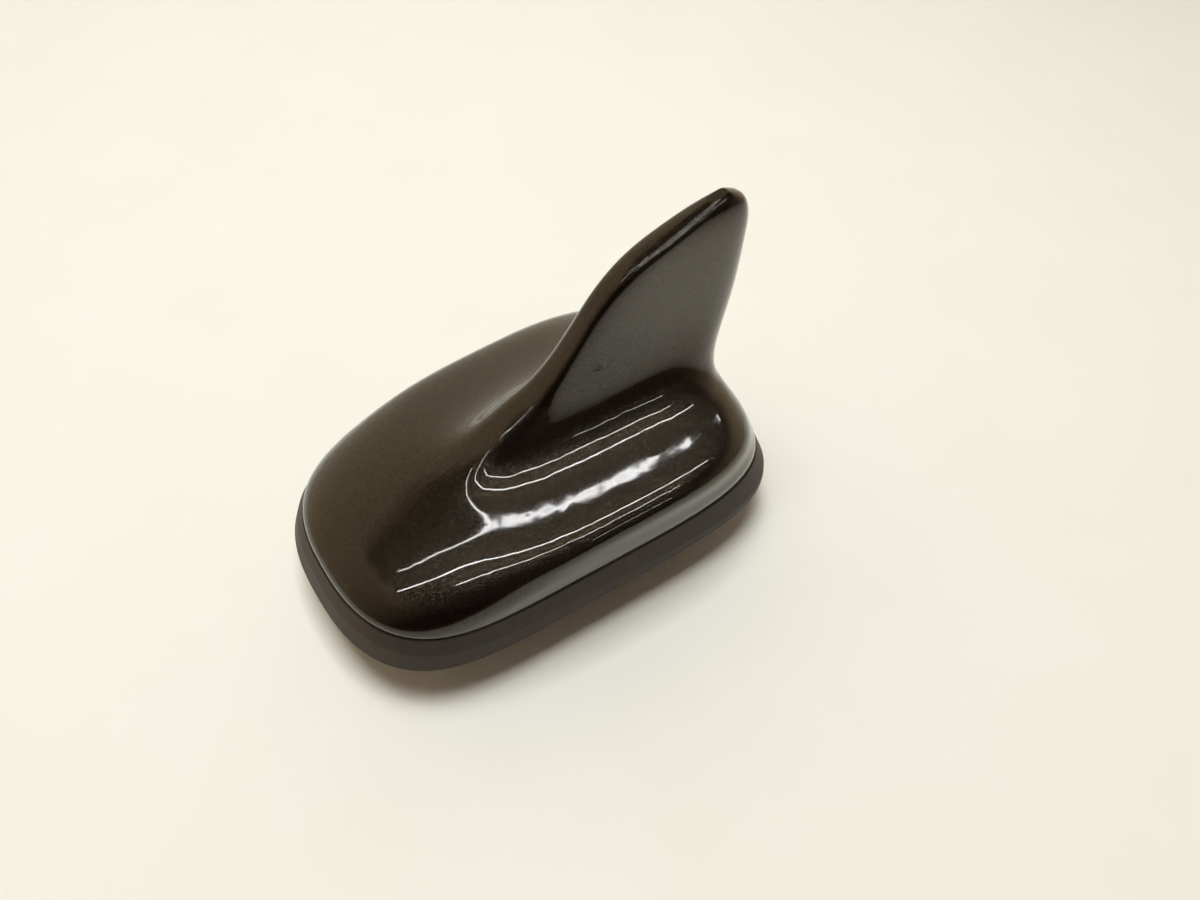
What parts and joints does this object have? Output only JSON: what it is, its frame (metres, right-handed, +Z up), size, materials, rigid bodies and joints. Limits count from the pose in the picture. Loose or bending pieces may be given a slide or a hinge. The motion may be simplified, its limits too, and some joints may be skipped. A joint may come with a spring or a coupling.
{
  "type": "shark fin aerial",
  "caption": "Shark fin roof aerial for a car: a glossy domed cover rising into a swept fin, on a rubber skirt and a cast base with a threaded stud and coaxial sockets.",
  "frame": {"origin": "on the axis of the stud, in the plane of the car roof that the skirt's foot rests on", "axes": "+X from the front of the aerial to its rear, along the car; +Y across the car; +Z up, away from the roof"},
  "size_m": [0.122, 0.0754, 0.0875],
  "materials": {
    "pearl_paint": "moulded ASA, deep black pearl paint with fine gold flake under clear coat",
    "skirt_rubber": "matte moulded EPDM",
    "cast_base": "die-cast, as cast",
    "vent_membrane": "porous membrane",
    "gasket_foam": "closed-cell EPDM foam",
    "board_laminate": "glass laminate with green solder mask",
    "patch_ceramic": "fired, unglazed",
    "silver_plate": "fired silver, satin",
    "tinned_steel": "bright tin plate",
    "chip_resin": "moulded epoxy",
    "fin_foam": "open-cell foam",
    "screw_steel": "zinc plated",
    "blue_plastic": "moulded, satin",
    "violet_plastic": "moulded, satin",
    "plated_brass": "gold flash plate",
    "white_plastic": "turned fluoropolymer"
  },
  "bodies": {
    "root": {"cover": "pearl_paint", "skirt_seal": "skirt_rubber", "base_plate": "cast_base", "stud": "screw_steel", "vent_plug": "vent_membrane", "roof_gasket": "gasket_foam", "main_board": "board_laminate", "patch_ceramic": "patch_ceramic", "patch_plate": "silver_plate", "patch_pin": "silver_plate", "shield_can": "tinned_steel", "amplifier_chips": "chip_resin", "fin_board": "board_laminate", "fin_foam": "fin_foam", "fin_clip": "tinned_steel", "board_screws": "screw_steel", "cover_screws": "screw_steel", "satellite_socket": "blue_plastic", "phone_socket": "violet_plastic", "socket_sleeves": "plated_brass", "socket_cores": "white_plastic", "socket_contacts": "plated_brass"}
  },
  "joints": []
}
